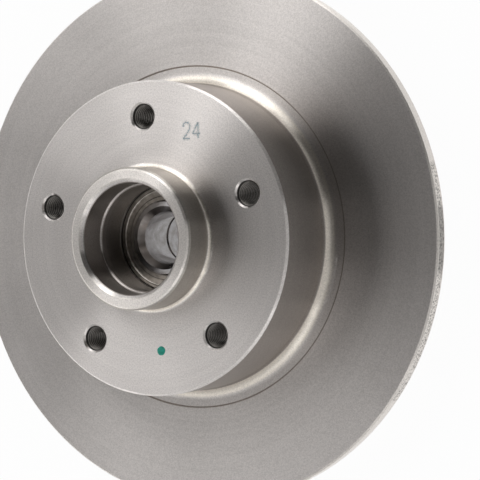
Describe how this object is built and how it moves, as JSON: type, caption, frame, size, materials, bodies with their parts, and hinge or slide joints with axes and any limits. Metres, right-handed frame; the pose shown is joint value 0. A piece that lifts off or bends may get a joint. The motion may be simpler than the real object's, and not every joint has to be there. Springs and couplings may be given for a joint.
{
  "type": "brake disc",
  "caption": "Solid rear brake disc cast in one with its wheel hub, threaded for wheel bolts, with a sealed ball bearing, retaining ring and speed encoder fitted.",
  "frame": {"origin": "centre of the wheel's seating face, on the rotation axis", "axes": "+Z along the rotation axis towards the wheel, out of the car; a threaded hole lies 20.8 degrees from +X"},
  "size_m": [0.26, 0.26, 0.0798],
  "materials": {
    "cast_iron_turned": "fine turned, uncoated",
    "bearing_steel": "ground",
    "ball_steel": "polished",
    "cage_plastic": "moulded",
    "seal_sheet": "pressed sheet",
    "seal_rubber": "moulded",
    "spring_steel": "phosphated",
    "carrier_sheet": "pressed sheet",
    "magnet_rubber": "magnetised rubber, satin"
  },
  "bodies": {
    "disc": {"disc": "cast_iron_turned", "outer_ring": "bearing_steel", "seal_case_outboard": "seal_sheet", "seal_case_inboard": "seal_sheet", "seal_lip_outboard": "seal_rubber", "seal_lip_inboard": "seal_rubber", "circlip": "spring_steel", "encoder_carrier": "carrier_sheet", "encoder_magnet": "magnet_rubber"},
    "inner_rings": {"inner_ring_outboard": "bearing_steel", "inner_ring_inboard": "bearing_steel", "flinger_outboard": "seal_sheet", "flinger_inboard": "seal_sheet"},
    "outboard_row": {"cage_outboard": "cage_plastic", "ball_outboard_1": "ball_steel", "ball_outboard_2": "ball_steel", "ball_outboard_3": "ball_steel", "ball_outboard_4": "ball_steel", "ball_outboard_5": "ball_steel", "ball_outboard_6": "ball_steel", "ball_outboard_7": "ball_steel", "ball_outboard_8": "ball_steel", "ball_outboard_9": "ball_steel", "ball_outboard_10": "ball_steel", "ball_outboard_11": "ball_steel", "ball_outboard_12": "ball_steel"},
    "inboard_row": {"cage_inboard": "cage_plastic", "ball_inboard_1": "ball_steel", "ball_inboard_2": "ball_steel", "ball_inboard_3": "ball_steel", "ball_inboard_4": "ball_steel", "ball_inboard_5": "ball_steel", "ball_inboard_6": "ball_steel", "ball_inboard_7": "ball_steel", "ball_inboard_8": "ball_steel", "ball_inboard_9": "ball_steel", "ball_inboard_10": "ball_steel", "ball_inboard_11": "ball_steel", "ball_inboard_12": "ball_steel"}
  },
  "joints": [
    {"name": "bearing_spin", "type": "hinge", "parent": "disc", "child": "inner_rings", "pos_m": [0, 0, -0.0357], "axis": [0, 0, 1], "continuous": true},
    {"name": "outboard_row_orbit", "type": "hinge", "parent": "disc", "child": "outboard_row", "pos_m": [0, 0, -0.0252], "axis": [0, 0, 1], "continuous": true},
    {"name": "inboard_row_orbit", "type": "hinge", "parent": "disc", "child": "inboard_row", "pos_m": [0, 0, -0.0462], "axis": [0, 0, 1], "continuous": true}
  ],
  "couplings": [
    {"joint": "outboard_row_orbit", "follows": "bearing_spin", "ratio": 0.4027},
    {"joint": "inboard_row_orbit", "follows": "bearing_spin", "ratio": 0.4027}
  ]
}
